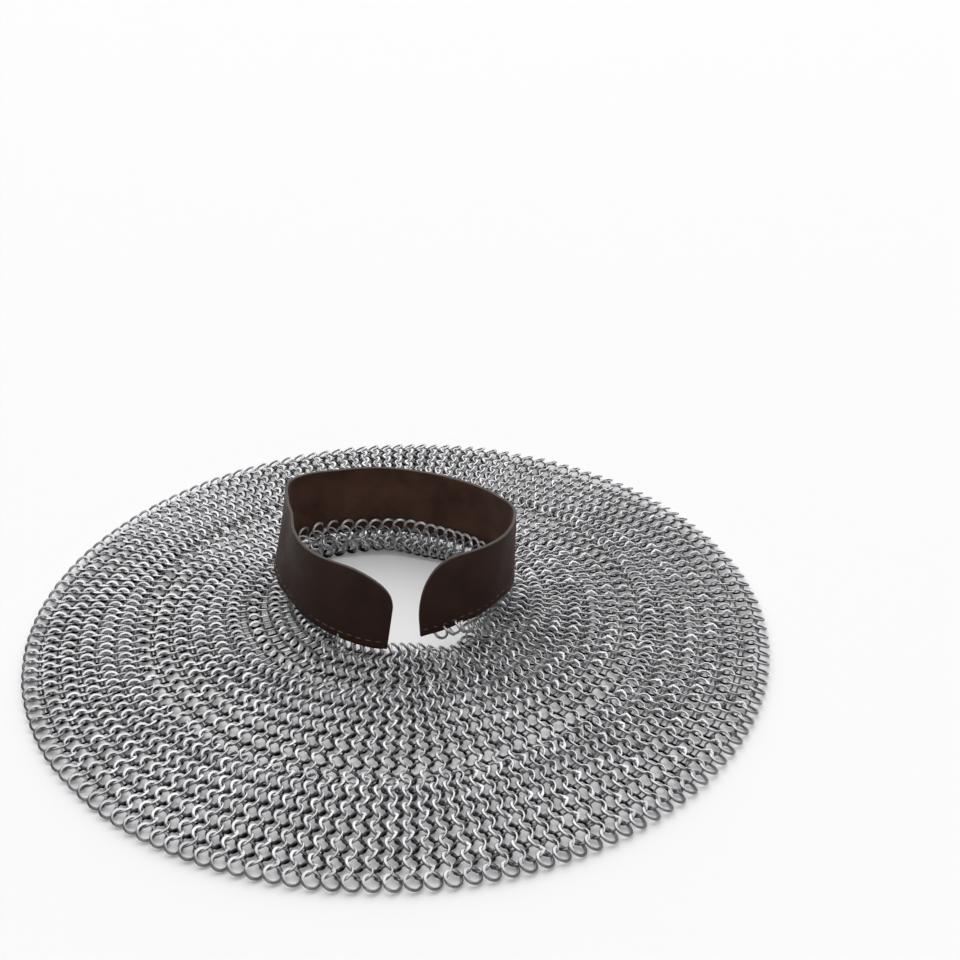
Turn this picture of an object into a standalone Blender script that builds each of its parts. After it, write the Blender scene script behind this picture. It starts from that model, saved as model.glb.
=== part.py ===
"""Chainmail aventail, laid out flat: a round cape of riveted mail with a leather band sewn to its neck.

Metres, +Z up. The origin is the middle of the cape on the surface it lies on, the face opening is at -Y.
Bearings are in degrees round the neck, counter-clockwise from +X, so the face opening is at 270.
"""
import math

import bpy
import numpy as np

MM = 0.001

# The cape
RIM_RADIUS = 0.275
OUTER_SEAM = (-0.0045, 0.0047, 0.1925)   # middle and radius, inside the first 6 rows of solid rings
INNER_SEAM = (-0.0070, 0.0140, 0.1120)   # inside the next 6 rows
INNER_SEAM_MARGIN = 0.008    # the inner seam stays this far outside the band's foot
MAIL_THICKNESS = 0.0058
RIM_THICKNESS = 0.0040       # the last row lies flatter
RIM_TAPER = 0.018
SEAM_GAP = 0.0003
SECTIONS = 96                # round the cape

# The leather band
BAND_HEIGHT = 0.061
LEATHER_THICKNESS = 0.0023
BAND_COLUMNS = 108
BAND_LINES = 5
CORNER_COLUMNS = 7           # extra columns along each rounded corner
BAND_ENDS = (-81.0, 261.2)   # bearings of the two ends
END_LEAN = (0.0007, 0.005)   # how far each end leans outwards up to where its corner starts
CORNER_LENGTH = (0.029, 0.037)
CORNER_START = (0.015, 0.033)
CORNER_POWER = 2.15

# The mail that stands inside the band
NECK_WALL = 0.005
NECK_CLEARANCE = 0.0036      # from the turned-up mail to the mail that lies flat
LEATHER_CLEARANCE = 0.0006   # more than the seam's gap, where the leather leans
NECK_SECTIONS = 76
NECK_LINES = 6
NECK_ENDS = (-56.0, 238.0)   # bearings between which the mail is sewn to the band
FREE_BLEND = 12.0            # degrees over which the sewn edge passes into the free one
BAND_CLEARANCE = 0.0015      # from the gathered mail to the band's foot
GATHER_REACH = 0.030         # how far outside the band the mail is gathered
GATHER_RISE = 0.007          # how much thicker it becomes there

# Round the neck: bearing, the radii of the band's top edge and foot, the height of its foot, the radius
# of the mail's inner edge on the ground, and how far the mail reaches up inside the band, above the
# band's foot. Degrees and millimetres, about NECK_CENTRE.
NECK_CENTRE = (0.002, 0.028)
NECK_COLUMNS = ("bearing", "band_top", "band_foot", "foot_height", "mail_edge", "mail_rise")
NECK_TABLE = (
    (0, 86.3, 86.0, 16, 75, 9),
    (20, 78.5, 81.0, 14, 67, 12),
    (45, 71.5, 75.5, 13, 57, 14),
    (73, 72.0, 76.0, 12, 54, 14),
    (98, 79.5, 84.0, 12, 61, 14),
    (120, 90.0, 96.0, 12, 69.5, 14),
    (142, 105.5, 111.0, 12, 82, 14),
    (158, 92.0, 107.0, 12, 87, 14),
    (172, 82.0, 96.0, 12, 82, 11),
    (190, 79.0, 84.5, 12, 74, 8),
    (213, 76.9, 79.5, 12, 70, 7),
    (236, 74.3, 79.0, 12, 70.5, 7),
    (261, 76.0, 80.6, 12, 69, 7),
    (279, 77.0, 76.0, 18, 70, 7),
    (291, 76.4, 74.2, 18.4, 77.5, 7),
    (298, 76.2, 73.3, 18.2, 80.5, 7),
    (305, 76.5, 73.0, 18, 75, 7),
    (334, 84.4, 77.5, 17, 68, 6),
)

# Soft folds where the mail bunches up beside the band: bearing, radius, half length in degrees,
# half width and height in millimetres, about NECK_CENTRE.
FOLD_COLUMNS = ("bearing", "radius", "half_length", "half_width", "height")
FOLD_TABLE = (
    (206, 126, 24, 11, 3.0),
    (216, 104, 26, 9, 3.0),
    (182, 116, 18, 10, 2.2),
    (356, 118, 20, 10, 2.0),
    (318, 104, 16, 9, 2.2),
)


def clear_scene():
    for thing in list(bpy.data.objects):
        bpy.data.objects.remove(thing, do_unlink=True)


def make_material(name, colour, roughness, metallic):
    material = bpy.data.materials.new(name)
    material.use_nodes = True
    shader = material.node_tree.nodes["Principled BSDF"]
    shader.inputs["Base Color"].default_value = (*colour, 1.0)
    shader.inputs["Roughness"].default_value = roughness
    shader.inputs["Metallic"].default_value = metallic
    return material


def make_object(name, points, faces, material):
    mesh = bpy.data.meshes.new(name)
    mesh.from_pydata([tuple(p) for p in points], [], faces)
    mesh.materials.append(material)
    mesh.shade_smooth()
    mesh.set_sharp_from_angle(angle=math.radians(40))
    thing = bpy.data.objects.new(name, mesh)
    bpy.context.scene.collection.objects.link(thing)
    return thing


def smooth(t):
    t = np.clip(t, 0.0, 1.0)
    return t * t * (3 - 2 * t)


def neck_value(column, bearing):
    """A column of NECK_TABLE at any bearing, along a smooth closed curve."""
    k = NECK_COLUMNS.index(column)
    x = np.array([row[0] for row in NECK_TABLE], float)
    y = np.array([row[k] for row in NECK_TABLE], float)
    x = np.concatenate([x[-2:] - 360, x, x[:2] + 360])
    y = np.concatenate([y[-2:], y, y[:2]])
    slope = np.zeros(len(x))
    slope[1:-1] = (y[2:] - y[:-2]) / (x[2:] - x[:-2])
    b = np.mod(bearing, 360.0)
    i = np.clip(np.searchsorted(x, b, side="right") - 1, 1, len(x) - 3)
    h = x[i + 1] - x[i]
    t = (b - x[i]) / h
    value = (
        (2 * t**3 - 3 * t**2 + 1) * y[i]
        + (t**3 - 2 * t**2 + t) * h * slope[i]
        + (3 * t**2 - 2 * t**3) * y[i + 1]
        + (t**3 - t**2) * h * slope[i + 1]
    )
    return value * MM


def neck_point(bearing, radius, height):
    a = np.radians(bearing)
    x = NECK_CENTRE[0] + radius * np.cos(a)
    y = NECK_CENTRE[1] + radius * np.sin(a)
    return np.stack([x, y, height + 0.0 * x], axis=-1)


def sewn_share(bearing):
    """1 where the mail is sewn to the band, 0 along the free edge in the face opening."""
    b = np.mod(np.asarray(bearing, float) - 270.0, 360.0)
    first = (NECK_ENDS[0] - 270.0) % 360.0
    last = (NECK_ENDS[1] - 270.0) % 360.0
    return smooth((b - first) / FREE_BLEND) * smooth((last - b) / FREE_BLEND)


def circle_reach(bearing, circle):
    """How far a circle is from NECK_CENTRE in the direction of a bearing."""
    a = np.radians(bearing)
    x, y = NECK_CENTRE[0] - circle[0], NECK_CENTRE[1] - circle[1]
    along = x * np.cos(a) + y * np.sin(a)
    return -along + np.sqrt(along**2 - x**2 - y**2 + circle[2] ** 2)


def inner_seam_reach(bearing):
    """The inner seam: a circle, but never nearer than the margin to the band's foot."""
    circle = circle_reach(bearing, INNER_SEAM)
    least = neck_value("band_foot", bearing) + INNER_SEAM_MARGIN
    return np.logaddexp(circle * 400, least * 400) / 400


def mail_top(bearing, radius):
    """Height of the mail's upper side: thin at the rim, gathered under the band's foot, folded beside it."""
    place = neck_point(bearing, radius, 0.0)
    taper = smooth((RIM_RADIUS - np.hypot(place[..., 0], place[..., 1])) / RIM_TAPER)
    foot = neck_value("band_foot", bearing)
    edge = neck_value("mail_edge", bearing)
    outside = (radius - foot) / GATHER_REACH
    inside = (foot - radius) / np.maximum(foot - edge, 0.004)
    gather = 1 - smooth(np.where(radius > foot, outside, inside))
    rise = neck_value("foot_height", bearing) - BAND_CLEARANCE - MAIL_THICKNESS
    top = RIM_THICKNESS + (MAIL_THICKNESS - RIM_THICKNESS) * taper
    top = top + sewn_share(bearing) * np.minimum(rise, GATHER_RISE) * gather
    for row in FOLD_TABLE:
        fold = dict(zip(FOLD_COLUMNS, row))
        turn = np.mod(bearing - fold["bearing"] + 180, 360) - 180
        along = 1 - smooth(np.abs(turn) / fold["half_length"])
        across = 1 - smooth(np.abs(radius - fold["radius"] * MM) / (fold["half_width"] * MM))
        top = top + fold["height"] * MM * along * across * (1 - gather)
    return top


def closed_ring(name, rings, material):
    """A body swept right round: rings is an array of sections, each a closed loop of points."""
    sections, count = rings.shape[:2]
    faces = []
    for i in range(sections):
        a = i * count
        b = (i + 1) % sections * count
        for k in range(count):
            n = (k + 1) % count
            faces.append((a + k, b + k, b + n, a + n))
    return make_object(name, rings.reshape(-1, 3), faces, material)


def open_zone(name, outer, inner, lines, material):
    """A woven ring of the cape between two closed lines, each given by its reach at even bearings."""
    bearing = np.linspace(0, 360, SECTIONS, endpoint=False)
    loops = [neck_point(bearing, outer, 0.0)]
    for t in np.linspace(0, 1, lines + 1):
        reach = outer + (inner - outer) * t
        loops.append(neck_point(bearing, reach, mail_top(bearing, reach)))
    loops.append(neck_point(bearing, inner, 0.0))
    return closed_ring(name, np.stack(loops, axis=1), material)


def inner_zone(name, reach, material):
    """The woven ring of the cape that runs in under the band, down to the neck opening."""
    bearing = np.linspace(0, 360, SECTIONS, endpoint=False)
    stand_off = NECK_WALL + NECK_CLEARANCE
    edge = neck_value("mail_edge", bearing) + sewn_share(bearing) * stand_off
    foot = neck_value("band_foot", bearing)
    middle = edge + (reach - edge) * np.clip((foot - edge) / (reach - edge), 0.12, 0.5)
    radii = [reach + (middle - reach) * t for t in (0, 0.2, 0.4, 0.6, 0.8, 1.0)]
    radii += [middle + (edge - middle) * t for t in (0.5, 1.0)]
    loops = [neck_point(bearing, reach, 0.0)]
    for k, r in enumerate(radii):
        top = mail_top(bearing, r)
        if k == len(radii) - 1:
            top = np.minimum(top, MAIL_THICKNESS)
        loops.append(neck_point(bearing, r, top))
    loops.append(neck_point(bearing, edge, 0.0))
    return closed_ring(name, np.stack(loops, axis=1), material)


def band_radius(bearing, rise):
    """Radius of the middle of the leather, a given way up from the band's foot."""
    foot = neck_value("band_foot", bearing)
    return foot + (neck_value("band_top", bearing) - foot) * rise / BAND_HEIGHT


def neck_mail(name, material):
    """The rows of mail that turn up inside the band and are sewn to it."""
    bearing = np.linspace(NECK_ENDS[0] + FREE_BLEND, NECK_ENDS[1] - FREE_BLEND, NECK_SECTIONS)
    foot_height = neck_value("foot_height", bearing)
    rise = neck_value("mail_rise", bearing)
    top = foot_height + rise
    edge = neck_value("mail_edge", bearing)
    inner_top = band_radius(bearing, rise) - LEATHER_THICKNESS / 2 - SEAM_GAP - NECK_WALL - LEATHER_CLEARANCE
    inside, outside = [], []
    for k in range(NECK_LINES + 1):
        t = k / NECK_LINES
        r = edge + (inner_top - edge) * smooth(t)
        above_foot = top * t - foot_height
        most = inner_top + band_radius(bearing, np.maximum(above_foot, 0.0)) - band_radius(bearing, rise)
        r = r - np.maximum(r - most, 0.0) * smooth(above_foot / 0.005 + 2)
        inside.append(neck_point(bearing, r, top * t))
        outside.append(neck_point(bearing, r + NECK_WALL, top * t))
    loops = np.stack(inside + outside[::-1], axis=1)
    sections, count = loops.shape[:2]
    faces = []
    for i in range(sections - 1):
        for k in range(count):
            n = (k + 1) % count
            faces.append((i * count + n, (i + 1) * count + n, (i + 1) * count + k, i * count + k))
    half = NECK_LINES + 1
    for k in range(NECK_LINES):
        quad = (k, k + 1, count - 2 - k, count - 1 - k)
        faces.append(quad[::-1])
        faces.append(tuple((sections - 1) * count + q for q in quad))
    assert half * 2 == count
    return make_object(name, loops.reshape(-1, 3), faces, material)


def band_lengths():
    """Bearings at even lengths along the band's middle, and the length at each."""
    bearing = np.linspace(BAND_ENDS[0] - 8, BAND_ENDS[1] + 8, 1200)
    middle = neck_point(bearing, band_radius(bearing, BAND_HEIGHT / 2), 0.0)
    steps = np.linalg.norm(np.diff(middle, axis=0), axis=1)
    length = np.concatenate([[0.0], np.cumsum(steps)])
    return bearing, length - np.interp(BAND_ENDS[0], bearing, length)


def corner_height(distance, end):
    """Height of the band's top edge at a distance from one end's furthest point."""
    t = np.clip(1 - distance / CORNER_LENGTH[end], 0, 1)
    rise = BAND_HEIGHT - CORNER_START[end]
    return CORNER_START[end] + rise * (1 - t**CORNER_POWER) ** (1 / CORNER_POWER)


def leather_band(name, material):
    """The strip of leather, bent round the neck, with its two upper corners rounded off."""
    bearing, length = band_lengths()
    total = np.interp(BAND_ENDS[1], bearing, length)
    start, stop = -END_LEAN[0], total + END_LEAN[1]
    turn = np.linspace(0, math.pi / 2, CORNER_COLUMNS + 1)
    first = start + CORNER_LENGTH[0] * (1 - np.cos(turn))
    last = stop - CORNER_LENGTH[1] * (1 - np.cos(turn))
    between = np.linspace(first[-1], last[-1], BAND_COLUMNS - 2 * CORNER_COLUMNS)[1:-1]
    columns = np.concatenate([first, between, last[::-1]])
    lines = np.linspace(0, 1, BAND_LINES + 1)
    middle = []
    for s in columns:
        top = min(corner_height(s - start, 0), corner_height(stop - s, 1))
        h = lines * top
        lean = END_LEAN[0] * (1 - np.clip(h / CORNER_START[0], 0, 1)) * np.exp(-(s - start) / 0.012)
        lean -= END_LEAN[1] * (1 - np.clip(h / CORNER_START[1], 0, 1)) * np.exp(-(stop - s) / 0.012)
        b = np.interp(s + lean, length, bearing)
        middle.append(neck_point(b, band_radius(b, h), neck_value("foot_height", b) + h))
    middle = np.array(middle)
    along = np.gradient(middle, axis=0)
    up = np.gradient(middle, axis=1)
    normal = np.cross(along, up)
    normal /= np.linalg.norm(normal, axis=2, keepdims=True)
    outer = middle + normal * LEATHER_THICKNESS / 2
    inner = middle - normal * LEATHER_THICKNESS / 2
    count, high = middle.shape[:2]
    size = count * high
    faces = []
    for i in range(count - 1):
        for k in range(high - 1):
            a, b = i * high + k, (i + 1) * high + k
            faces.append((a, b, b + 1, a + 1))
            faces.append((size + a + 1, size + b + 1, size + b, size + a))
    rim = [i * high for i in range(count)]
    rim += [(count - 1) * high + k for k in range(1, high)]
    rim += [i * high + high - 1 for i in range(count - 2, -1, -1)]
    rim += [k for k in range(high - 2, 0, -1)]
    for a, b in zip(rim, rim[1:] + rim[:1]):
        faces.append((b, a, size + a, size + b))
    points = np.concatenate([outer.reshape(-1, 3), inner.reshape(-1, 3)])
    return make_object(name, points, faces, material)


def build():
    clear_scene()
    steel = make_material("galvanised_steel_rings", (0.42, 0.43, 0.45), 0.42, 1.0)
    leather = make_material("dark_brown_leather", (0.045, 0.024, 0.017), 0.62, 0.0)
    bearing = np.linspace(0, 360, SECTIONS, endpoint=False)
    rim = circle_reach(bearing, (0.0, 0.0, RIM_RADIUS))
    outer_seam = circle_reach(bearing, OUTER_SEAM)
    inner_seam = inner_seam_reach(bearing)
    half = SEAM_GAP / 2
    open_zone("mail_outer", rim, outer_seam + half, 5, steel)
    open_zone("mail_middle", outer_seam - half, inner_seam + half, 6, steel)
    inner_zone("mail_inner", inner_seam - half, steel)
    neck_mail("mail_neck", steel)
    leather_band("leather_band", leather)


build()
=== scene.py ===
import math

import bpy
import numpy as np
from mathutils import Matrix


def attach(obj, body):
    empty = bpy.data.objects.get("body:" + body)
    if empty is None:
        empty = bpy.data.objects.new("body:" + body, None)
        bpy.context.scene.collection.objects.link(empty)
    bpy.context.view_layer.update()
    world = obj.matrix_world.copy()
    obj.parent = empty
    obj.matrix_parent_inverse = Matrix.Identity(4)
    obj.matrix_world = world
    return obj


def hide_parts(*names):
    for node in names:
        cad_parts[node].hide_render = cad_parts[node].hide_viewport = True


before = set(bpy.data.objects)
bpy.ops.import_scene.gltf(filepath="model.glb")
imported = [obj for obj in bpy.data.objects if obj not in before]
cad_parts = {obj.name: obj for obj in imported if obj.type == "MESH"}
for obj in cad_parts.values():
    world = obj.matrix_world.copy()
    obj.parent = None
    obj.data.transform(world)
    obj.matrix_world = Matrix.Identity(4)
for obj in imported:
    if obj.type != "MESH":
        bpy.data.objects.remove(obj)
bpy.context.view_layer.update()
print("frame loaded:", ", ".join(sorted(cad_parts)))

mm = 0.001

# Small helpers for numbers and node trees


def smooth(t):
    t = np.clip(t, 0, 1)
    return t * t * (3 - 2 * t)


def unit(vectors):
    return vectors / np.linalg.norm(vectors, axis=-1, keepdims=True)


def ripple(x, y, length, seed, waves=5):
    # an even, repeatable unevenness, from about -1 to 1
    draw = np.random.RandomState(seed)
    total = 0
    for _ in range(waves):
        turn = draw.uniform(0, 2 * math.pi)
        pace = 2 * math.pi / (length * draw.uniform(0.7, 1.6))
        start = draw.uniform(0, 2 * math.pi)
        total = total + np.sin(pace * (x * math.cos(turn) + y * math.sin(turn)) + start)
    return total / math.sqrt(waves * 2)


def findSocket(sockets, name):
    if isinstance(name, int):
        return sockets[name]
    return next(s for s in sockets if s.name == name and s.enabled)


def node(tree, kind, wires=None, **settings):
    made = tree.nodes.new(kind)
    for name, value in settings.items():
        setattr(made, name, value)
    for name, value in (wires or {}).items():
        socket = findSocket(made.inputs, name)
        if isinstance(value, bpy.types.Node):
            value = next(s for s in value.outputs if s.enabled)
        if isinstance(value, bpy.types.NodeSocket):
            tree.links.new(value, socket)
        else:
            socket.default_value = value
    return made


def calc(tree, operation, *values):
    kind = "ShaderNodeMath"
    return node(tree, kind, dict(enumerate(values)), operation=operation)


def newTree(name, values, material):
    # a tree with one named input for each value, a whole number where the value is one
    tree = bpy.data.node_groups.new(name, "GeometryNodeTree")
    tree.interface.new_socket("Geometry", in_out="INPUT", socket_type="NodeSocketGeometry")
    tree.interface.new_socket("Geometry", in_out="OUTPUT", socket_type="NodeSocketGeometry")
    for label, value in values.items():
        kind = "NodeSocketInt" if isinstance(value, int) else "NodeSocketFloat"
        tree.interface.new_socket(label, in_out="INPUT", socket_type=kind)
    tree.interface.new_socket(material, in_out="INPUT", socket_type="NodeSocketMaterial")
    return tree


def joined(tree, shapes):
    both = node(tree, "GeometryNodeJoinGeometry")
    for shape in shapes:
        tree.links.new(shape.outputs[0], both.inputs[0])
    return both


def finishTree(tree, shape, material):
    solid = node(tree, "GeometryNodeRealizeInstances", {"Geometry": shape})
    final = node(tree, "GeometryNodeSetMaterial", {"Geometry": solid, "Material": material})
    out = tree.nodes.new("NodeGroupOutput")
    tree.links.new(final.outputs[0], out.inputs[0])


def newMaterial(name):
    material = bpy.data.materials.new(name)
    material.use_nodes = True
    return material, material.node_tree, material.node_tree.nodes["Principled BSDF"]


def mixColours(tree, amount, first, second):
    wires = {0: amount, 6: (*first, 1), 7: (*second, 1)}
    return node(tree, "ShaderNodeMix", wires, data_type="RGBA").outputs[2]


def ramp(tree, value, low, high, start=0.0, end=1.0):
    wires = {"Value": value, "From Min": low, "From Max": high, "To Min": start, "To Max": end}
    return node(tree, "ShaderNodeMapRange", wires).outputs[0]


def addObject(name, data):
    thing = bpy.data.objects.new(name, data)
    bpy.context.scene.collection.objects.link(thing)
    return thing


def settle(name, source):
    # makes a source's live modifiers part of one plain mesh, and takes the source away
    graph = bpy.context.evaluated_depsgraph_get()
    result = bpy.data.meshes.new_from_object(source.evaluated_get(graph))
    source.modifiers.clear()
    bpy.data.objects.remove(source)
    result.name = name
    return addObject(name, result)


def runTree(name, tree, mesh, values):
    source = addObject(name + "Source", mesh)
    live = source.modifiers.new(tree.name, "NODES")
    live.node_group = tree
    for item in tree.interface.items_tree:
        if item.in_out == "INPUT" and item.name in values:
            live[item.identifier] = values[item.name]
    return settle(name, source)


def pointCloud(name, places, attributes):
    # loose points, with what the tree reads stored on each
    mesh = bpy.data.meshes.new(name)
    mesh.from_pydata([tuple(p) for p in places], [], [])
    for label, values in attributes.items():
        values = np.asarray(values)
        kind = "FLOAT_VECTOR" if values.ndim == 2 else "FLOAT"
        if values.dtype == bool:
            kind = "BOOLEAN"
        layer = mesh.attributes.new(label, kind, "POINT")
        field = "vector" if kind == "FLOAT_VECTOR" else "value"
        layer.data.foreach_set(field, values.ravel())
    return mesh


# Camera, floor and light

camera = {
    "place": (0.0, -0.8303, 0.5885),
    "down": 29.432,  # degrees below the horizon
    "right": 4.159,  # degrees to the right of straight ahead
    "lens": 50,
}
studio = {
    "floorSize": 14.0,
    "floorColour": (0.605, 0.605, 0.611),
    "floorGlow": 0.06,
    "floorRoughness": 0.9,
    "floorGloss": 0.1,
    "skyColour": (0.97, 0.98, 1.0),
    "skyStrength": 0.05,
    # degrees from straight above towards the back and the right, width in degrees, strength
    "lamps": {"softbox": (38.0, 7.0, 104.0, 5.25), "fill": (-50.0, 3.0, 50.0, 0.65)},
}


def setCamera():
    lens = bpy.data.cameras.new("camera")
    lens.lens = camera["lens"]
    viewer = addObject("camera", lens)
    viewer.location = camera["place"]
    viewer.rotation_euler = (math.radians(90 - camera["down"]), 0, math.radians(-camera["right"]))
    bpy.context.scene.camera = viewer


def softLamps():
    for name, (back, right, spread, strength) in studio["lamps"].items():
        lamp = bpy.data.lights.new(name, "SUN")
        lamp.angle = math.radians(spread)
        lamp.energy = strength
        addObject(name, lamp).rotation_euler = (-math.radians(back), math.radians(right), 0)


def softSky():
    world = bpy.data.worlds.new("studio")
    world.use_nodes = True
    sky = world.node_tree.nodes["Background"]
    sky.inputs["Color"].default_value = (*studio["skyColour"], 1)
    sky.inputs["Strength"].default_value = studio["skyStrength"]
    bpy.context.scene.world = world
    bpy.context.scene.view_settings.view_transform = "Standard"


def layFloor():
    half = studio["floorSize"] / 2
    corners = [(-half, -half, 0), (half, -half, 0), (half, half, 0), (-half, half, 0)]
    mesh = bpy.data.meshes.new("floor")
    mesh.from_pydata(corners, [], [(0, 1, 2, 3)])
    floor = addObject("floor", mesh)
    paint, _, shader = newMaterial("studioFloor")
    shader.inputs["Base Color"].default_value = (*studio["floorColour"], 1)
    shader.inputs["Emission Color"].default_value = (1, 1, 1, 1)
    shader.inputs["Emission Strength"].default_value = studio["floorGlow"]
    shader.inputs["Roughness"].default_value = studio["floorRoughness"]
    shader.inputs["Specular IOR Level"].default_value = studio["floorGloss"]
    mesh.materials.append(paint)


setCamera()
softSky()
softLamps()
layFloor()
print("camera, floor and light set")

# Round the neck: bearing, radii of the band's top and foot, height of its foot, radius of the mail's
# inner edge on the ground, and how far the mail reaches up inside the band. Degrees and millimetres.

neck = {
    "centre": (0.002, 0.028),
    "columns": ("bearing", "bandTop", "bandFoot", "footHeight", "mailEdge", "mailRise"),
    "rows": (
        (0, 86.3, 86.0, 16, 75, 9),
        (20, 78.5, 81.0, 14, 67, 12),
        (45, 71.5, 75.5, 13, 57, 14),
        (73, 72.0, 76.0, 12, 54, 14),
        (98, 79.5, 84.0, 12, 61, 14),
        (120, 90.0, 96.0, 12, 69.5, 14),
        (142, 105.5, 111.0, 12, 82, 14),
        (158, 92.0, 107.0, 12, 87, 14),
        (172, 82.0, 96.0, 12, 82, 11),
        (190, 79.0, 84.5, 12, 74, 8),
        (213, 76.9, 79.5, 12, 70, 7),
        (236, 74.3, 79.0, 12, 70.5, 7),
        (261, 76.0, 80.6, 12, 69, 7),
        (279, 77.0, 76.0, 18, 70, 7),
        (291, 76.4, 74.2, 18.4, 77.5, 7),
        (298, 76.2, 73.3, 18.2, 80.5, 7),
        (305, 76.5, 73.0, 18, 75, 7),
        (334, 84.4, 77.5, 17, 68, 6),
    ),
    "sewnFrom": -56.0,  # bearings between which the mail is sewn to the band
    "sewnTo": 238.0,
    "sewnBlend": 12.0,
}
band = {
    "height": 0.061,
    "thickness": 0.0023,
    "ends": (-81.0, 261.2),
    "past": 8,  # degrees measured past each end, for the ends' lean
    "endLean": (0.0007, 0.005),
    "leanReach": 0.012,
    "cornerLength": (0.029, 0.037),
    "cornerStart": (0.015, 0.033),
    "cornerPower": 2.15,
    "columns": 260,
    "cornerColumns": 16,
    "lines": 22,
    "edgeRound": 0.0005,
    "edgeAngle": 50,  # degrees, edges steeper than this are rounded
}


def neckValue(column, bearing):
    k = neck["columns"].index(column)
    x = np.array([row[0] for row in neck["rows"]], float)
    y = np.array([row[k] for row in neck["rows"]], float)
    x = np.concatenate([x[-2:] - 360, x, x[:2] + 360])
    y = np.concatenate([y[-2:], y, y[:2]])
    slope = np.zeros(len(x))
    slope[1:-1] = (y[2:] - y[:-2]) / (x[2:] - x[:-2])
    b = np.mod(bearing, 360.0)
    i = np.clip(np.searchsorted(x, b, side="right") - 1, 1, len(x) - 3)
    h = x[i + 1] - x[i]
    t = (b - x[i]) / h
    start = (2 * t**3 - 3 * t**2 + 1) * y[i] + (t**3 - 2 * t**2 + t) * h * slope[i]
    end = (3 * t**2 - 2 * t**3) * y[i + 1] + (t**3 - t**2) * h * slope[i + 1]
    return (start + end) * mm


def neckPoint(bearing, radius, height):
    a = np.radians(bearing)
    x = neck["centre"][0] + radius * np.cos(a)
    y = neck["centre"][1] + radius * np.sin(a)
    return np.stack([x, y, height + 0 * x], axis=-1)


def sewnShare(bearing):
    b = np.mod(bearing - 270.0, 360.0)
    first = (neck["sewnFrom"] - 270.0) % 360.0
    last = (neck["sewnTo"] - 270.0) % 360.0
    return smooth((b - first) / neck["sewnBlend"]) * smooth((last - b) / neck["sewnBlend"])


def bandRadius(bearing, rise):
    foot = neckValue("bandFoot", bearing)
    return foot + (neckValue("bandTop", bearing) - foot) * rise / band["height"]


def bandFacing(bearing):
    # the way in from the band's inner face
    inwards = neckPoint(bearing, 0.0, 0.0) - neckPoint(bearing, 1.0, 0.0)
    inwards[:, 2] = (neckValue("bandTop", bearing) - neckValue("bandFoot", bearing)) / band["height"]
    return unit(inwards)


# The weave. Solid rings lie in rows round the cape and riveted ones between them, each linking four.
# Every ring leans sideways, the two kinds opposite ways.

weave = {
    "rimRadius": 0.275,
    "rows": 16,  # rows of solid rings from the rim to the neck
    "ringReach": 0.0063,
    "zones": {
        "outer": {"chains": 148, "rows": 6},
        "middle": {"chains": 99, "rows": 6},
        "inner": {"chains": 66, "rows": 4},
    },
    # degrees from chain to chain at the neck, by bearing from the face
    "spread": ((0, 5.3), (40, 5.1), (75, 4.6), (100, 4.7), (122, 6.7), (180, 7.1)),
    # where two woven rings meet: rows outside it, middle, radius
    "seams": ((5.5, (-0.0045, 0.0047), 0.1925), (11.5, (-0.007, 0.014), 0.112)),
    "seamMargin": 0.008,  # no seam comes nearer to the band's foot
    "seamEase": 400,  # how sharply a seam turns where it would
    # step between chains, and the lean of solid and riveted rings there, in degrees
    "lean": (
        (0.0065, 49.0, 40.0),
        (0.008, 44.0, 34.0),
        (0.0092, 37.0, 29.0),
        (0.0105, 32.0, 25.0),
        (0.0115, 29.0, 23.0),
    ),
    "shift": 0.0005,  # how far the riveted rings sit to their high side
    "lift": 0.0006,
    "rimLean": (0.8, 0.9, 1.0),  # the last three rows lean less
    "rimTilt": 11.0,  # the rim's solid rings lie with their inner side up
    "sewnRow": 7,  # half steps in from the inner zone's seam
    "sewnStand": 0.0018,  # from the leather to the middle of the rings sewn to it
    "sewnDrop": 0.0016,
    "sewnLean": (0.08, 0.7, 0.85),  # the sewn row and the next two lean less
    # loose rings at the band's right end: bearing, radius, height, turn, how flat they lie, kind
    "strays": (
        (-68.5, 73.0, 16.4, 25.0, 50.0, "solid"),
        (-64.5, 74.0, 17.6, 75.0, 40.0, "riveted"),
        (-61.0, 74.5, 18.0, -15.0, 58.0, "solid"),
        (-57.0, 75.5, 17.2, 60.0, 36.0, "riveted"),
        (-53.0, 77.0, 16.4, 15.0, 50.0, "solid"),
    ),
    "breathing": 0.012,  # how unevenly the chains are spread round the rim
    "wander": 0.0007,
    "swell": 0.0008,
    "waveLengths": (0.05, 0.07, 0.045),  # of the unevenness inwards, sideways and up
    "calmRim": (0.25, 0.03),  # share of the unevenness at the rim, and how far in it reaches full
    "clearance": (0.0003, 0.00115),  # round a ring, and under its lowest edge
    "relaxed": (0.0115, 0.01385),  # from ring to ring and row to row where nothing crowds them
    "seed": 11,
}
ring = {
    "Solid Outside": 0.0126,
    "Solid Band": 0.0017,
    "Solid Thickness": 0.00125,
    "Solid Facets": 16,
    "Wire": 0.0015,
    "Wire Centre Line": 0.0058,
    "Wire Facets": 14,
    "Wire Sides": 6,
    "Lap Angle": 0.72,
    "Lap Width": 0.0042,
    "Lap Thickness": 0.0017,
    "Lap Places": 2,  # quarter turns on from the first that a lap may be at
    "Lap Swing": 0.35,
    "Rivet Head": 0.0021,
    "Rivet Taper": 0.26,
    "Rivet Rise": 0.0007,
    "Rivet Seat": 0.42,
    "Rivet Facets": 8,
    "Wobble": 2.5,
    "Seed": 5,
}
folds = {
    "columns": ("bearing", "radius", "halfLength", "halfWidth", "height"),
    "rows": (
        (206, 126, 24, 11, 3.0),
        (216, 104, 26, 9, 3.0),
        (182, 116, 18, 10, 2.2),
        (356, 118, 20, 10, 2.0),
        (318, 104, 16, 9, 2.2),
    ),
}


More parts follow.
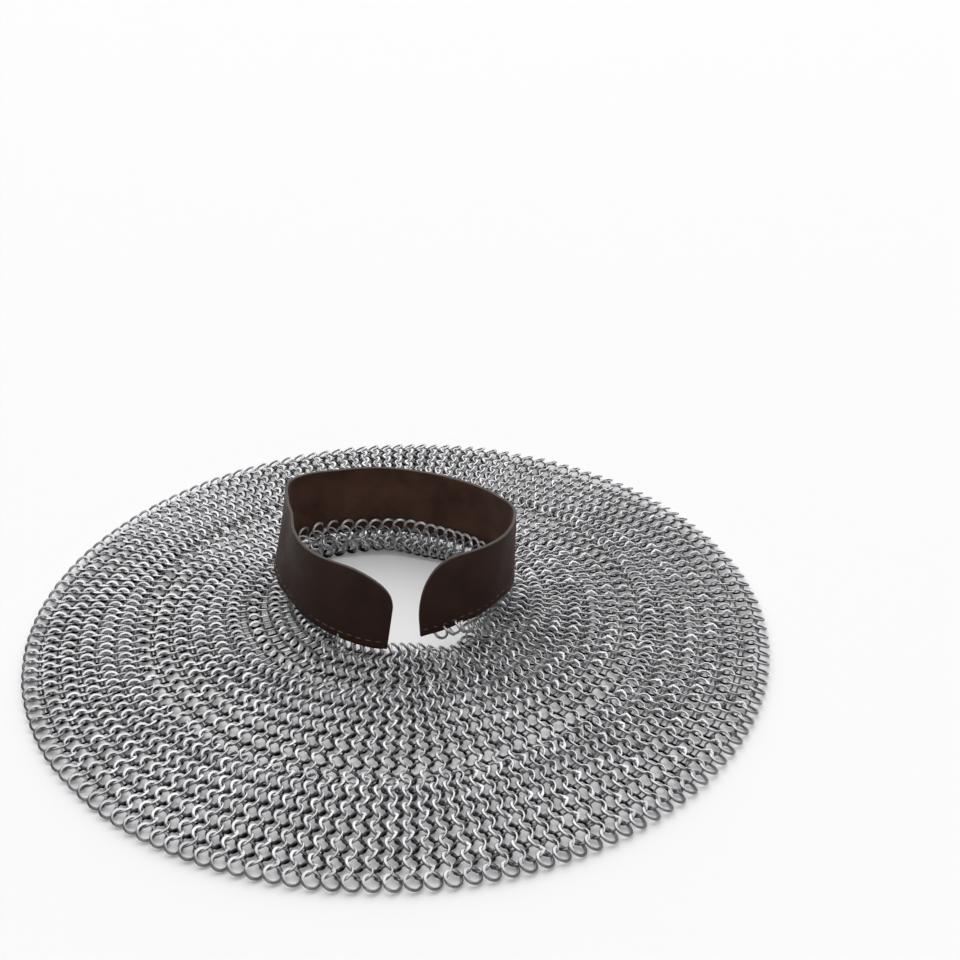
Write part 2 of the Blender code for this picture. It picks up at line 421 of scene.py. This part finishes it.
def foldHeight(x, y):
    bearing = np.degrees(np.arctan2(y - neck["centre"][1], x - neck["centre"][0]))
    radius = np.hypot(x - neck["centre"][0], y - neck["centre"][1])
    total = 0 * x
    for row in folds["rows"]:
        fold = dict(zip(folds["columns"], row))
        turn = np.mod(bearing - fold["bearing"] + 180, 360) - 180
        along = 1 - smooth(np.abs(turn) / fold["halfLength"])
        across = 1 - smooth(np.abs(radius - fold["radius"] * mm) / (fold["halfWidth"] * mm))
        total = total + fold["height"] * mm * along * across
    return total


def lastRing(bearing):
    # radius and height of the middle of the last ring of each chain, and how much of it is sewn
    sewn = sewnShare(bearing)
    free = neckValue("mailEdge", bearing) + weave["ringReach"]
    rise = neckValue("mailRise", bearing) - weave["ringReach"]
    stand = band["thickness"] / 2 + weave["sewnStand"]
    radius = free + (bandRadius(bearing, rise) - stand - free) * sewn
    return radius, (neckValue("footHeight", bearing) + rise) * sewn, sewn


def neckBearings(share):
    # where each chain meets the neck, from the middle of the face opening
    turn = np.linspace(0, 360, 721)
    fromFace = np.minimum(turn, 360 - turn)
    each = np.interp(fromFace, *zip(*weave["spread"]))
    count = np.concatenate([[0], np.cumsum(0.5 / ((each[1:] + each[:-1]) / 2))])
    return np.interp(np.mod(share, 1) * count[-1], count, turn) - 90


# Where a chain turns up inside the band: millimetres outside the mail's inner edge where it stays on
# the ground and where it is sewn, and the height above the ground there

turnUp = {
    "ground": (18.0, 11.5, 0.0),
    "corner": (14.0, 1.5, 0.0),
    "wall": (9.5, 3.0, 8.5),
    "wallLean": 0.3,  # how far the wall follows the sewn row
}


def chainLines(share):
    # one line for each chain: in from the rim, round under the band's foot and up inside it
    bearing = neckBearings(share)
    lastRadius, lastHeight, sewn = lastRing(bearing)
    edge = neckValue("mailEdge", bearing)
    start = weave["rimRadius"] - weave["ringReach"]

    def at(name, further=0.0):
        free, close, height = (value * mm for value in turnUp[name])
        radius = edge + free + (close + further - free) * sewn
        return neckPoint(bearing, radius, height * sewn)

    turn = 2 * math.pi * share - math.pi / 2
    turn = turn + weave["breathing"] * np.sin(4 * turn + 0.6) * np.sin(3 * turn)
    first = np.stack([start * np.cos(turn), start * np.sin(turn), 0 * turn], axis=-1)
    ground = at("ground")
    corner = at("corner")
    wall = at("wall", turnUp["wallLean"] * (lastRadius - edge - turnUp["wall"][1] * mm))
    last = neckPoint(bearing, lastRadius, lastHeight)
    t = np.linspace(0, 1, 41)[:, None, None]
    bend = (1 - t) ** 2 * ground + 2 * t * (1 - t) * corner + t**2 * wall
    return np.concatenate([first + (ground - first) * t, bend[1:], (wall + (last - wall) * t)[1:]])


def seamReach(bearing, centre, radius):
    a = np.radians(bearing)
    x, y = neck["centre"][0] - centre[0], neck["centre"][1] - centre[1]
    along = x * np.cos(a) + y * np.sin(a)
    reach = np.sqrt(along**2 - x**2 - y**2 + radius**2) - along
    least = neckValue("bandFoot", bearing) + weave["seamMargin"]
    ease = weave["seamEase"]
    return np.logaddexp(reach * ease, least * ease) / ease


def zoneGrid(name):
    # the mail's middle surface, at half steps round the cape and from row to row
    zone = weave["zones"][name]
    count = zone["chains"] * 2
    share = np.arange(count) / count
    order = list(weave["zones"])
    before = sum(weave["zones"][n]["rows"] for n in order[: order.index(name)])
    lines = chainLines(share)
    length = np.linalg.norm(np.diff(lines, axis=0), axis=-1)
    length = np.concatenate([np.zeros((1, count)), np.cumsum(length, axis=0)])
    steps = before - 0.5 + np.arange(zone["rows"] * 2 + 1) / 2
    grid = np.empty((count, len(steps), 3))
    for c in range(count):
        known = [0] + [rows for rows, _, _ in weave["seams"]] + [weave["rows"] - 1]
        along = [0]
        x, y = (lines[:40, c, :2] - neck["centre"]).T
        bearing = np.degrees(np.arctan2(y, x))
        for _, centre, radius in weave["seams"]:
            inside = seamReach(bearing, centre, radius) - np.hypot(x, y)
            along.append(np.interp(0, inside, length[:40, c]))
        wanted = np.interp(steps, known, along + [length[-1, c]])
        for axis in range(3):
            grid[c, :, axis] = np.interp(wanted, length[:, c], lines[:, c, axis])
    if name == "outer":
        grid[:, 0] = 2 * grid[:, 1] - grid[:, 2]
    if name == "inner":
        grid[:, -1] = 2 * grid[:, -2] - grid[:, -3]
    return grid


def gridWays(grid):
    # the step from chain to chain round the cape, and the step inwards
    return (np.roll(grid, -1, axis=0) - np.roll(grid, 1, axis=0)) / 2, np.gradient(grid, axis=1)


def unevenGrid(grid):
    # the same surface with small waves and the gathers in it, calmer at the rim
    waves = enumerate(weave["waveLengths"])
    uneven, sideways, heave = (
        ripple(grid[..., 0], grid[..., 1], length, weave["seed"] + step) for step, length in waves
    )
    across, inwards = gridWays(grid)
    flat = smooth(unit(np.cross(across, inwards))[..., 2:3] * -2)
    least, width = weave["calmRim"]
    calm = smooth((weave["rimRadius"] - np.hypot(grid[..., 0], grid[..., 1])) / width)[..., None]
    calm = least + (1 - least) * calm
    grid = grid + unit(inwards) * uneven[..., None] * weave["wander"] * calm
    grid = grid + unit(across) * sideways[..., None] * weave["wander"] * calm
    lift = foldHeight(grid[..., 0], grid[..., 1]) + weave["swell"] * (1 + heave) * calm[..., 0]
    grid[..., 2] += lift * flat[..., 0]
    return grid


def leanShare(name, row, sewn):
    # the rings lean less at the rim and where they are sewn
    share = np.ones(row.shape)
    if name == "outer":
        for step, value in enumerate(weave["rimLean"]):
            share[row == step + 1] = value
    if name == "inner":
        for step, value in enumerate(weave["sewnLean"]):
            share = np.where(row == weave["sewnRow"] - step, 1 - (1 - value) * sewn, share)
    return share


def zoneRings(name):
    # every ring of a zone: its middle, its axis, the way of its chain and its kind
    grid = unevenGrid(zoneGrid(name))
    across, inwards = gridWays(grid)
    c, v = np.meshgrid(*map(np.arange, grid.shape[:2]), indexing="ij")
    solid = (c % 2 == 0) & (v % 2 == 1)
    riveted = (c % 2 == 1) & (v % 2 == 0) & (v > 0)
    if name == "inner":
        riveted &= v < grid.shape[1] - 1
    outwards = -unit(inwards)
    upper = unit(np.cross(outwards, across))
    chainStep = np.linalg.norm(across, axis=-1) * 2
    bearings = neckBearings(np.arange(len(v)) / len(v))
    sewn = sewnShare(bearings)[:, None]
    share = leanShare(name, v, sewn)
    steps, solidLean, rivetedLean = zip(*weave["lean"])
    spare, under = weave["clearance"]
    kinds = (("solid", solid, -1, solidLean), ("riveted", riveted, 1, rivetedLean))
    found = {}
    for kind, chosen, side, lean in kinds:
        tilt = np.radians(np.interp(chainStep, steps, lean) * share)[chosen][:, None] * side
        sideways = unit(np.cross(upper[chosen], outwards[chosen]))
        axis = upper[chosen] * np.cos(tilt) - sideways * np.sin(tilt)
        if name == "outer" and kind == "solid":
            rim = (v[chosen] == 1)[:, None] * math.radians(weave["rimTilt"])
            axis = unit(axis + outwards[chosen] * np.tan(rim))
        places = grid[chosen]
        if name == "inner" and kind == "solid":
            flatOn = (sewn * (v == weave["sewnRow"]))[chosen][:, None]
            axis = unit(axis * (1 - flatOn) + bandFacing(bearings)[c[chosen]] * flatOn)
            places[:, 2] -= weave["sewnDrop"] * flatOn[:, 0]
        if kind == "riveted":
            places = places + sideways * weave["shift"] + upper[chosen] * weave["lift"]
        standing = (weave["ringReach"] + spare) * np.sqrt(1 - axis[:, 2] ** 2) + under
        raised = standing * smooth(upper[chosen][:, 2] * 1.2)
        places[:, 2] = np.maximum(places[:, 2] + raised, standing)
        found[kind] = {
            "places": places,
            "ringAxis": axis,
            "chainWay": outwards[chosen],
            "riveted": np.full(chosen.sum(), kind == "riveted"),
        }
    rings = {key: np.concatenate([found[k][key] for k in found]) for key in found["solid"]}
    if name == "inner":
        rings = addStrays(rings)
    return rings


def addStrays(rings):
    bearing, radius, height, turn, flatness, kind = map(np.array, zip(*weave["strays"]))
    out = neckPoint(bearing, 1.0, 0.0) - neckPoint(bearing, 0.0, 0.0)
    along = np.stack([-out[:, 1], out[:, 0], 0 * turn], axis=-1)
    turn, flatness = np.radians((turn, flatness))[..., None]
    sideways = out * np.cos(turn) + along * np.sin(turn)
    added = {
        "places": neckPoint(bearing, radius * mm, height * mm),
        "ringAxis": sideways * np.cos(flatness) + np.array((0.0, 0.0, 1.0)) * np.sin(flatness),
        "chainWay": np.tile((0.0, 0.0, -1.0), (len(turn), 1)),
        "riveted": kind == "riveted",
    }
    return {key: np.concatenate([rings[key], added[key]]) for key in rings}


def finishShape(tree, shape, edgeAngle, within):
    # smooth but for the steep edges nearer to the ring's middle than a given radius
    shape = node(tree, "GeometryNodeSetShadeSmooth", {"Geometry": shape})
    angle = node(tree, "GeometryNodeInputMeshEdgeAngle").outputs[0]
    wires = {0: angle, 1: math.radians(edgeAngle)}
    steep = node(tree, "FunctionNodeCompare", wires, operation="GREATER_THAN")
    wires = {0: node(tree, "GeometryNodeInputPosition")}
    reach = node(tree, "ShaderNodeVectorMath", wires, operation="LENGTH").outputs["Value"]
    near = node(tree, "FunctionNodeCompare", {0: reach, 1: within}, operation="LESS_THAN")
    sharp = node(tree, "FunctionNodeBooleanMath", {0: steep, 1: near}, operation="AND")
    wires = {"Geometry": shape, "Name": "sharp_edge", "Value": sharp}
    return node(tree, "GeometryNodeStoreNamedAttribute", wires, data_type="BOOLEAN", domain="EDGE")


def solidRing(tree, given):
    # a flat washer
    outside = calc(tree, "MULTIPLY", given["Solid Outside"], 0.5)
    middle = calc(tree, "SUBTRACT", outside, calc(tree, "MULTIPLY", given["Solid Band"], 0.5))
    wires = {"Resolution": given["Solid Facets"], "Radius": middle}
    circle = node(tree, "GeometryNodeCurvePrimitiveCircle", wires, mode="RADIUS")
    wires = {"Width": given["Solid Band"], "Height": given["Solid Thickness"]}
    section = node(tree, "GeometryNodeCurvePrimitiveQuadrilateral", wires, mode="RECTANGLE")
    washer = node(tree, "GeometryNodeCurveToMesh", {"Curve": circle, "Profile Curve": section})
    return finishShape(tree, washer, 50, middle)


def rivetedRing(tree, given):
    # a wire ring whose ends overlap, hammered wide and flat, with a rivet through them
    wires = {"Resolution": given["Wire Facets"], "Radius": given["Wire Centre Line"]}
    circle = node(tree, "GeometryNodeCurvePrimitiveCircle", wires, mode="RADIUS")
    wires = {"Resolution": given["Wire Sides"], "Radius": calc(tree, "MULTIPLY", given["Wire"], 0.5)}
    section = node(tree, "GeometryNodeCurvePrimitiveCircle", wires, mode="RADIUS")
    wire = node(tree, "GeometryNodeCurveToMesh", {"Curve": circle, "Profile Curve": section})
    place = node(tree, "ShaderNodeSeparateXYZ", {0: node(tree, "GeometryNodeInputPosition")})
    x, y, z = place.outputs
    turn = calc(tree, "ABSOLUTE", calc(tree, "ARCTAN2", y, x))
    wires = {"Value": turn, "From Max": given["Lap Angle"], "To Min": 1.0, "To Max": 0.0}
    lap = node(tree, "ShaderNodeMapRange", wires, interpolation_type="SMOOTHSTEP")
    square = calc(tree, "ADD", calc(tree, "MULTIPLY", x, x), calc(tree, "MULTIPLY", y, y))
    radius = calc(tree, "SQRT", square)
    off = calc(tree, "SUBTRACT", radius, given["Wire Centre Line"])
    wider = calc(tree, "SUBTRACT", calc(tree, "DIVIDE", given["Lap Width"], given["Wire"]), 1.0)
    thicker = calc(tree, "SUBTRACT", calc(tree, "DIVIDE", given["Lap Thickness"], given["Wire"]), 1.0)
    off = calc(tree, "MULTIPLY", off, calc(tree, "MULTIPLY_ADD", lap, wider, 1.0))
    scale = calc(tree, "DIVIDE", calc(tree, "ADD", off, given["Wire Centre Line"]), radius)
    tall = calc(tree, "MULTIPLY", z, calc(tree, "MULTIPLY_ADD", lap, thicker, 1.0))
    wires = {0: calc(tree, "MULTIPLY", x, scale), 1: calc(tree, "MULTIPLY", y, scale), 2: tall}
    moved = node(tree, "ShaderNodeCombineXYZ", wires)
    wire = node(tree, "GeometryNodeSetPosition", {"Geometry": wire, "Position": moved})
    wires = {
        "Vertices": given["Rivet Facets"],
        "Radius Top": calc(tree, "MULTIPLY", given["Rivet Head"], given["Rivet Taper"]),
        "Radius Bottom": calc(tree, "MULTIPLY", given["Rivet Head"], 0.5),
        "Depth": given["Rivet Rise"],
    }
    head = node(tree, "GeometryNodeMeshCone", wires).outputs["Mesh"]
    seat = calc(tree, "MULTIPLY", given["Lap Thickness"], given["Rivet Seat"])
    onLap = node(tree, "ShaderNodeCombineXYZ", {0: given["Wire Centre Line"], 2: seat})
    head = node(tree, "GeometryNodeTransform", {"Geometry": head, "Translation": onLap})
    return finishShape(tree, joined(tree, (wire, head)), 65, given["Solid Outside"])


def ringTree():
    # one ring on each point, turned so that its axis and its chain lie as the weave says
    tree = newTree("mailRings", ring, "Steel")
    given = tree.nodes.new("NodeGroupInput").outputs

    def named(label, kind):
        return node(tree, "GeometryNodeInputNamedAttribute", {"Name": label}, data_type=kind)

    def draw(low, high, seedStep, kind="FLOAT"):
        wires = {"Min": low, "Max": high, "Seed": calc(tree, "ADD", given["Seed"], float(seedStep))}
        return node(tree, "FunctionNodeRandomValue", wires, data_type=kind)

    def turned(first, second):
        wires = {0: first, 1: second}
        return node(tree, "FunctionNodeRotateRotation", wires, rotation_space="LOCAL")

    wires = {0: named("ringAxis", "FLOAT_VECTOR"), 1: named("chainWay", "FLOAT_VECTOR")}
    facing = node(tree, "FunctionNodeAxesToRotation", wires, primary_axis="Z", secondary_axis="X")
    quarter = draw(0, given["Lap Places"], 0, "INT")
    loose = draw(calc(tree, "MULTIPLY", given["Lap Swing"], -1.0), given["Lap Swing"], 1)
    spin = calc(tree, "MULTIPLY_ADD", quarter, math.pi / 2, loose)
    spin = node(tree, "FunctionNodeAxisAngleToRotation", {"Axis": (0, 0, 1), "Angle": spin})
    wobble = calc(tree, "MULTIPLY", given["Wobble"], math.pi / 180)
    shake = [calc(tree, "MULTIPLY", wobble, draw(-1.0, 1.0, step)) for step in (2, 3)]
    shake = node(tree, "ShaderNodeCombineXYZ", {0: shake[0], 1: shake[1]})
    shake = node(tree, "FunctionNodeEulerToRotation", {0: shake})
    isRiveted = named("riveted", "BOOLEAN")
    isSolid = node(tree, "FunctionNodeBooleanMath", {0: isRiveted}, operation="NOT")
    kinds = (
        (solidRing(tree, given), facing, isSolid),
        (rivetedRing(tree, given), turned(facing, spin), isRiveted),
    )
    parts = []
    for shape, rotation, chosen in kinds:
        wires = {"Points": given["Geometry"], "Selection": chosen, "Instance": shape}
        wires["Rotation"] = turned(rotation, shake)
        parts.append(node(tree, "GeometryNodeInstanceOnPoints", wires))
    wires = {"Geometry": joined(tree, parts), "Name": "ringShade", "Value": draw(0.0, 1.0, 4)}
    shaded = node(tree, "GeometryNodeStoreNamedAttribute", wires, data_type="FLOAT", domain="INSTANCE")
    finishTree(tree, shaded, given["Steel"])
    return tree


steel = {
    "colour": (0.50, 0.498, 0.512),
    "darker": (0.27, 0.269, 0.278),
    "ringShare": 0.6,  # how much the shade goes by the ring, and by the mottling on it
    "mottleShare": 0.5,
    "mottle": 260.0,
    "mottleDetail": 3.0,
    "roughness": (0.25, 0.37),
    "metallic": 0.7,
    "gloss": 0.1,
    # painted shade: the colour falls to the third share below the first height, and is full above the
    # second
    "paintedUnderShade": (0.0029, 0.0076, 0.008),
    # but at least this share of the colour from the second reach outwards, ramping in from the first, so
    # the rim keeps less of the painted shade
    "rim": (0.262, 0.269, 0.62),
    # painted light: more colour by this share inside the band, by height, where the lamps hardly reach
    # the sewn rings
    "neck": (0.017, 0.026, 0.95),
}


def steelMaterial():
    material, tree, shader = newMaterial("tumbledSteel")
    shader.inputs["Metallic"].default_value = steel["metallic"]
    shader.inputs["Specular IOR Level"].default_value = steel["gloss"]
    place = node(tree, "ShaderNodeTexCoord").outputs["Object"]
    wires = {"Vector": place, "Scale": steel["mottle"], "Detail": steel["mottleDetail"]}
    mottle = node(tree, "ShaderNodeTexNoise", wires).outputs["Fac"]
    shade = node(tree, "ShaderNodeAttribute", attribute_name="ringShade").outputs["Fac"]
    amount = calc(tree, "MULTIPLY", mottle, steel["mottleShare"])
    amount = calc(tree, "MULTIPLY_ADD", shade, steel["ringShare"], amount)
    colour = mixColours(tree, amount, steel["darker"], steel["colour"])
    # painted shade low among the rings, where shade falls between them
    low, high, paintedShadeDepth = steel["paintedUnderShade"]
    height = node(tree, "ShaderNodeSeparateXYZ", {0: place}).outputs[2]
    paintedLightAndShade = ramp(tree, height, low, high, paintedShadeDepth)
    wires = {0: place, 1: (1.0, 1.0, 0.0)}
    onGround = node(tree, "ShaderNodeVectorMath", wires, operation="MULTIPLY")
    reach = node(tree, "ShaderNodeVectorMath", {0: onGround}, operation="LENGTH").outputs["Value"]
    # the rim keeps less of the painted shade
    low, high, share = steel["rim"]
    paintedLightAndShade = calc(tree, "MAXIMUM", paintedLightAndShade, ramp(tree, reach, low, high, 0.0, share))
    # painted light on the rings inside the band
    low, high, share = steel["neck"]
    paintedLightAndShade = calc(tree, "ADD", paintedLightAndShade, ramp(tree, height, low, high, 0.0, share))
    # the painted light and shade scale the steel's colour
    colour = node(tree, "ShaderNodeVectorMath", {0: colour, "Scale": paintedLightAndShade}, operation="SCALE")
    tree.links.new(colour.outputs[0], shader.inputs["Base Color"])
    low, high = steel["roughness"]
    rough = calc(tree, "MULTIPLY_ADD", mottle, high - low, low)
    tree.links.new(rough.outputs[0], shader.inputs["Roughness"])
    return material


def flatAcross(name):
    # how wide a woven ring of mail is when nothing crowds it
    zone = weave["zones"][name]
    alongRow, acrossRows = weave["relaxed"]
    return round(zone["chains"] * alongRow / math.pi + zone["rows"] * acrossRows, 3)


def dressMail():
    material = steelMaterial()
    tree = ringTree()
    zones = {name: zoneRings(name) for name in weave["zones"]}
    outer = zones["outer"]
    front = outer["places"][:, 1] < 0
    every = slice(None)
    wide = {name: flatAcross(name) for name in zones}
    pieces = (
        ("mailOuterFront", outer, front, ["mail_outer"], (wide["outer"], wide["outer"] / 2)),
        ("mailOuterBack", outer, ~front, ["mail_outer"], (wide["outer"], wide["outer"] / 2)),
        ("mailMiddle", zones["middle"], every, ["mail_middle"], (wide["middle"], wide["middle"])),
        ("mailInner", zones["inner"], every, ["mail_inner", "mail_neck"], (wide["inner"], wide["inner"])),
    )
    for name, rings, chosen, nodes, flat in pieces:
        stored = {key: values[chosen] for key, values in rings.items()}
        places = stored.pop("places")
        points = pointCloud(name + "Points", places, stored)
        piece = runTree(name, tree, points, dict(ring, Steel=material))
        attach(piece, "root")
        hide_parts(*nodes)
        print(name, len(places), "rings,", len(piece.data.polygons), "faces")


dressMail()

# The leather band: one strip bent round the neck, smooth outside, fleshy inside, its cut edges greyer

leather = {
    "finishes": {
        "smoothLeather": {
            "colours": ((0.027, 0.0118, 0.0078), (0.050, 0.0222, 0.0138)),
            "roughness": (0.42, 0.58),
            "bump": 0.25,
            "sheen": 0.0,
        },
        "fleshLeather": {
            "colours": ((0.050, 0.023, 0.0148), (0.112, 0.055, 0.037)),
            "roughness": (0.75, 0.9),
            "bump": 0.6,
            "sheen": 0.04,
        },
        "cutEdge": {
            "colours": ((0.0336, 0.0231, 0.0182), (0.048, 0.033, 0.026)),
            "roughness": (0.6, 0.8),
            "bump": 0.4,
            "sheen": 0.1,
        },
    },
    "mottle": (38.0, 4.0, 0.65),  # scale, detail and share of the blotches
    "grain": (1700.0, 3.0, 0.35),
    "contrast": (0.38, 0.62),
    "grainDepth": 0.0003,
    "dent": 0.0003,
    "dentLength": 0.06,
    "dentStretch": 0.6,  # the dents are longer up the band than along it
    "gloss": 0.2,
    "sheenRoughness": 0.5,
}


def bandLengths():
    # bearings at even lengths along the band's middle, and the length at each
    bearing = np.linspace(band["ends"][0] - band["past"], band["ends"][1] + band["past"], 1200)
    middle = neckPoint(bearing, bandRadius(bearing, band["height"] / 2), 0)
    steps = np.linalg.norm(np.diff(middle, axis=0), axis=1)
    length = np.concatenate([[0], np.cumsum(steps)])
    return bearing, length - np.interp(band["ends"][0], bearing, length)


def bandEnds():
    bearing, length = bandLengths()
    total = np.interp(band["ends"][1], bearing, length)
    return -band["endLean"][0], total + band["endLean"][1]


def cornerHeight(distance, end):
    # height of the top edge at a distance from one end's furthest point
    t = np.clip(1 - distance / band["cornerLength"][end], 0, 1)
    low = band["cornerStart"][end]
    power = band["cornerPower"]
    return low + (band["height"] - low) * (1 - t**power) ** (1 / power)


def bandPoint(s, h, bulge=0):
    # a place on the band's middle surface, s along it and h above its foot
    bearing, length = bandLengths()
    start, stop = bandEnds()
    lean = band["endLean"][0] * (1 - np.clip(h / band["cornerStart"][0], 0, 1))
    shift = lean * np.exp(-(s - start) / band["leanReach"])
    lean = band["endLean"][1] * (1 - np.clip(h / band["cornerStart"][1], 0, 1))
    shift = shift - lean * np.exp(-(stop - s) / band["leanReach"])
    b = np.interp(s + shift, length, bearing)
    return neckPoint(b, bandRadius(b, h) + bulge, neckValue("footHeight", b) + h)


def bandColumns():
    start, stop = bandEnds()
    turn = np.linspace(0, math.pi / 2, band["cornerColumns"] + 1)
    first = start + band["cornerLength"][0] * (1 - np.cos(turn))
    last = stop - band["cornerLength"][1] * (1 - np.cos(turn))
    count = band["columns"] - 2 * band["cornerColumns"]
    between = np.linspace(first[-1], last[-1], count)[1:-1]
    return np.concatenate([first, between, last[::-1]])


def bandTop(columns):
    start, stop = bandEnds()
    return np.minimum(cornerHeight(columns - start, 0), cornerHeight(stop - columns, 1))


def bandMesh():
    columns = bandColumns()
    lines = np.linspace(0, 1, band["lines"] + 1)
    top = bandTop(columns)
    s = np.repeat(columns[:, None], len(lines), axis=1)
    h = top[:, None] * lines[None, :]
    dent = ripple(s, h * leather["dentStretch"], leather["dentLength"], 3) * leather["dent"]
    points = bandPoint(s, h, dent)
    high = len(lines)
    faces = []
    for i in range(len(columns) - 1):
        for k in range(high - 1):
            a = i * high + k
            faces.append((a, a + high, a + high + 1, a + 1))
    mesh = bpy.data.meshes.new("leatherBand")
    mesh.from_pydata([tuple(p) for p in points.reshape(-1, 3)], [], faces)
    places = np.stack([s, h], axis=-1).reshape(-1, 2)
    corners = np.array([i for face in faces for i in face])
    layer = mesh.uv_layers.new(name="strip")
    layer.data.foreach_set("uv", places[corners].ravel())
    return mesh


def leatherMaterial(name):
    finish = leather["finishes"][name]
    material, tree, shader = newMaterial(name)
    strip = node(tree, "ShaderNodeUVMap", uv_map="strip").outputs[0]

    def noise(kind):
        scale, detail, share = leather[kind]
        wires = {"Vector": strip, "Scale": scale, "Detail": detail}
        return node(tree, "ShaderNodeTexNoise", wires).outputs["Fac"], share

    mottle, mottleShare = noise("mottle")
    grain, grainShare = noise("grain")
    blotch = calc(tree, "MULTIPLY_ADD", grain, grainShare, calc(tree, "MULTIPLY", mottle, mottleShare))
    blotch = ramp(tree, blotch, *leather["contrast"])
    tree.links.new(mixColours(tree, blotch, *finish["colours"]), shader.inputs["Base Color"])
    low, high = finish["roughness"]
    rough = calc(tree, "MULTIPLY_ADD", blotch, high - low, low)
    tree.links.new(rough.outputs[0], shader.inputs["Roughness"])
    shader.inputs["Sheen Weight"].default_value = finish["sheen"]
    shader.inputs["Sheen Roughness"].default_value = leather["sheenRoughness"]
    shader.inputs["Specular IOR Level"].default_value = leather["gloss"]
    wires = {"Height": grain, "Strength": finish["bump"], "Distance": leather["grainDepth"]}
    lift = node(tree, "ShaderNodeBump", wires)
    tree.links.new(lift.outputs[0], shader.inputs["Normal"])
    return material


def finishBand(source):
    wall = source.modifiers.new("wall", "SOLIDIFY")
    wall.thickness = band["thickness"]
    wall.offset = 0
    wall.use_even_offset = True
    wall.material_offset = 1
    wall.material_offset_rim = 2
    edge = source.modifiers.new("edge", "BEVEL")
    edge.width = band["edgeRound"]
    edge.segments = 2
    edge.limit_method = "ANGLE"
    edge.angle_limit = math.radians(band["edgeAngle"])


stitch = {
    "Stitch Length": 0.0052,
    "Stitch Gap": 0.0024,
    "Thread": 0.0013,
    "Stitch Facets": 6,
    "Sides": 6,
}
stitchLine = {
    "above": 0.0054,  # the band's foot
    "from": 0.004,  # its right end
    "to": 0.008,  # and its left one
    "step": 0.0015,
    "wander": 0.0003,
    "wanderLength": 0.05,
    "sink": 0.0002,  # into the leather
}
thread = {
    "colours": ((0.063, 0.0396, 0.0264), (0.147, 0.0924, 0.0616)),
    "twist": 900.0,
    "twistDetail": 2.0,
    "roughness": 0.6,
}


def stitchTree():
    tree = newTree("stitches", stitch, "Thread Colour")
    given = tree.nodes.new("NodeGroupInput").outputs
    line = node(tree, "GeometryNodeMeshToCurve", {"Mesh": given["Geometry"]})
    pitch = calc(tree, "ADD", given["Stitch Length"], given["Stitch Gap"])
    spots = node(tree, "GeometryNodeCurveToPoints", {"Curve": line, "Length": pitch}, mode="LENGTH")
    wires = {"Name": "outwards"}
    outwards = node(tree, "GeometryNodeInputNamedAttribute", wires, data_type="FLOAT_VECTOR")
    wires = {0: spots.outputs["Tangent"], 1: outwards}
    facing = node(tree, "FunctionNodeAxesToRotation", wires, primary_axis="X", secondary_axis="Z")
    # one stitch is a short arc of thread, its ends down in the leather
    radius = calc(tree, "MULTIPLY", given["Thread"], 0.5)
    halfLength = calc(tree, "MULTIPLY", given["Stitch Length"], 0.5)
    back = calc(tree, "MULTIPLY", halfLength, -1.0)
    low = calc(tree, "MULTIPLY", given["Thread"], -0.5)
    wires = {
        "Start": node(tree, "ShaderNodeCombineXYZ", {0: back, 2: low}),
        "Middle": node(tree, "ShaderNodeCombineXYZ", {2: radius}),
        "End": node(tree, "ShaderNodeCombineXYZ", {0: halfLength, 2: low}),
        "Resolution": given["Stitch Facets"],
    }
    arc = node(tree, "GeometryNodeCurveQuadraticBezier", wires)
    wires = {"Resolution": given["Sides"], "Radius": radius}
    section = node(tree, "GeometryNodeCurvePrimitiveCircle", wires, mode="RADIUS")
    wires = {"Curve": arc, "Profile Curve": section, "Fill Caps": True}
    single = node(tree, "GeometryNodeCurveToMesh", wires)
    single = node(tree, "GeometryNodeSetShadeSmooth", {"Geometry": single})
    wires = {"Points": spots.outputs["Points"], "Instance": single, "Rotation": facing}
    finishTree(tree, node(tree, "GeometryNodeInstanceOnPoints", wires), given["Thread Colour"])
    return tree


def stitchMesh():
    start, stop = bandEnds()
    s = np.arange(start + stitchLine["from"], stop - stitchLine["to"], stitchLine["step"])
    uneven = ripple(s, 0 * s, stitchLine["wanderLength"], 8)
    h = stitchLine["above"] + uneven * stitchLine["wander"]
    inside = bandPoint(s, h)
    along = np.gradient(inside, axis=0)
    up = bandPoint(s, h + mm) - inside
    outwards = unit(np.cross(along, up))
    outside = inside + outwards * (band["thickness"] / 2 - stitchLine["sink"])
    mesh = bpy.data.meshes.new("stitchLine")
    edges = [(i, i + 1) for i in range(len(s) - 1)]
    mesh.from_pydata([tuple(p) for p in outside], edges, [])
    layer = mesh.attributes.new("outwards", "FLOAT_VECTOR", "POINT")
    layer.data.foreach_set("vector", outwards.ravel())
    return mesh


def threadMaterial():
    material, tree, shader = newMaterial("waxedThread")
    place = node(tree, "ShaderNodeTexCoord").outputs["Object"]
    wires = {"Vector": place, "Scale": thread["twist"], "Detail": thread["twistDetail"]}
    twist = node(tree, "ShaderNodeTexNoise", wires).outputs["Fac"]
    tree.links.new(mixColours(tree, twist, *thread["colours"]), shader.inputs["Base Color"])
    shader.inputs["Roughness"].default_value = thread["roughness"]
    return material


def dressBand():
    source = addObject("leatherBandSource", bandMesh())
    for name in leather["finishes"]:
        source.data.materials.append(leatherMaterial(name))
    finishBand(source)
    piece = settle("leatherBand", source)
    for face in piece.data.polygons:
        face.use_smooth = True
    values = {**stitch, "Thread Colour": threadMaterial()}
    stitches = runTree("bandStitches", stitchTree(), stitchMesh(), values)
    for made in (piece, stitches):
        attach(made, "root")
    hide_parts("leather_band")
    start, stop = bandEnds()
    columns = bandColumns()
    top = bandTop(columns)


dressBand()
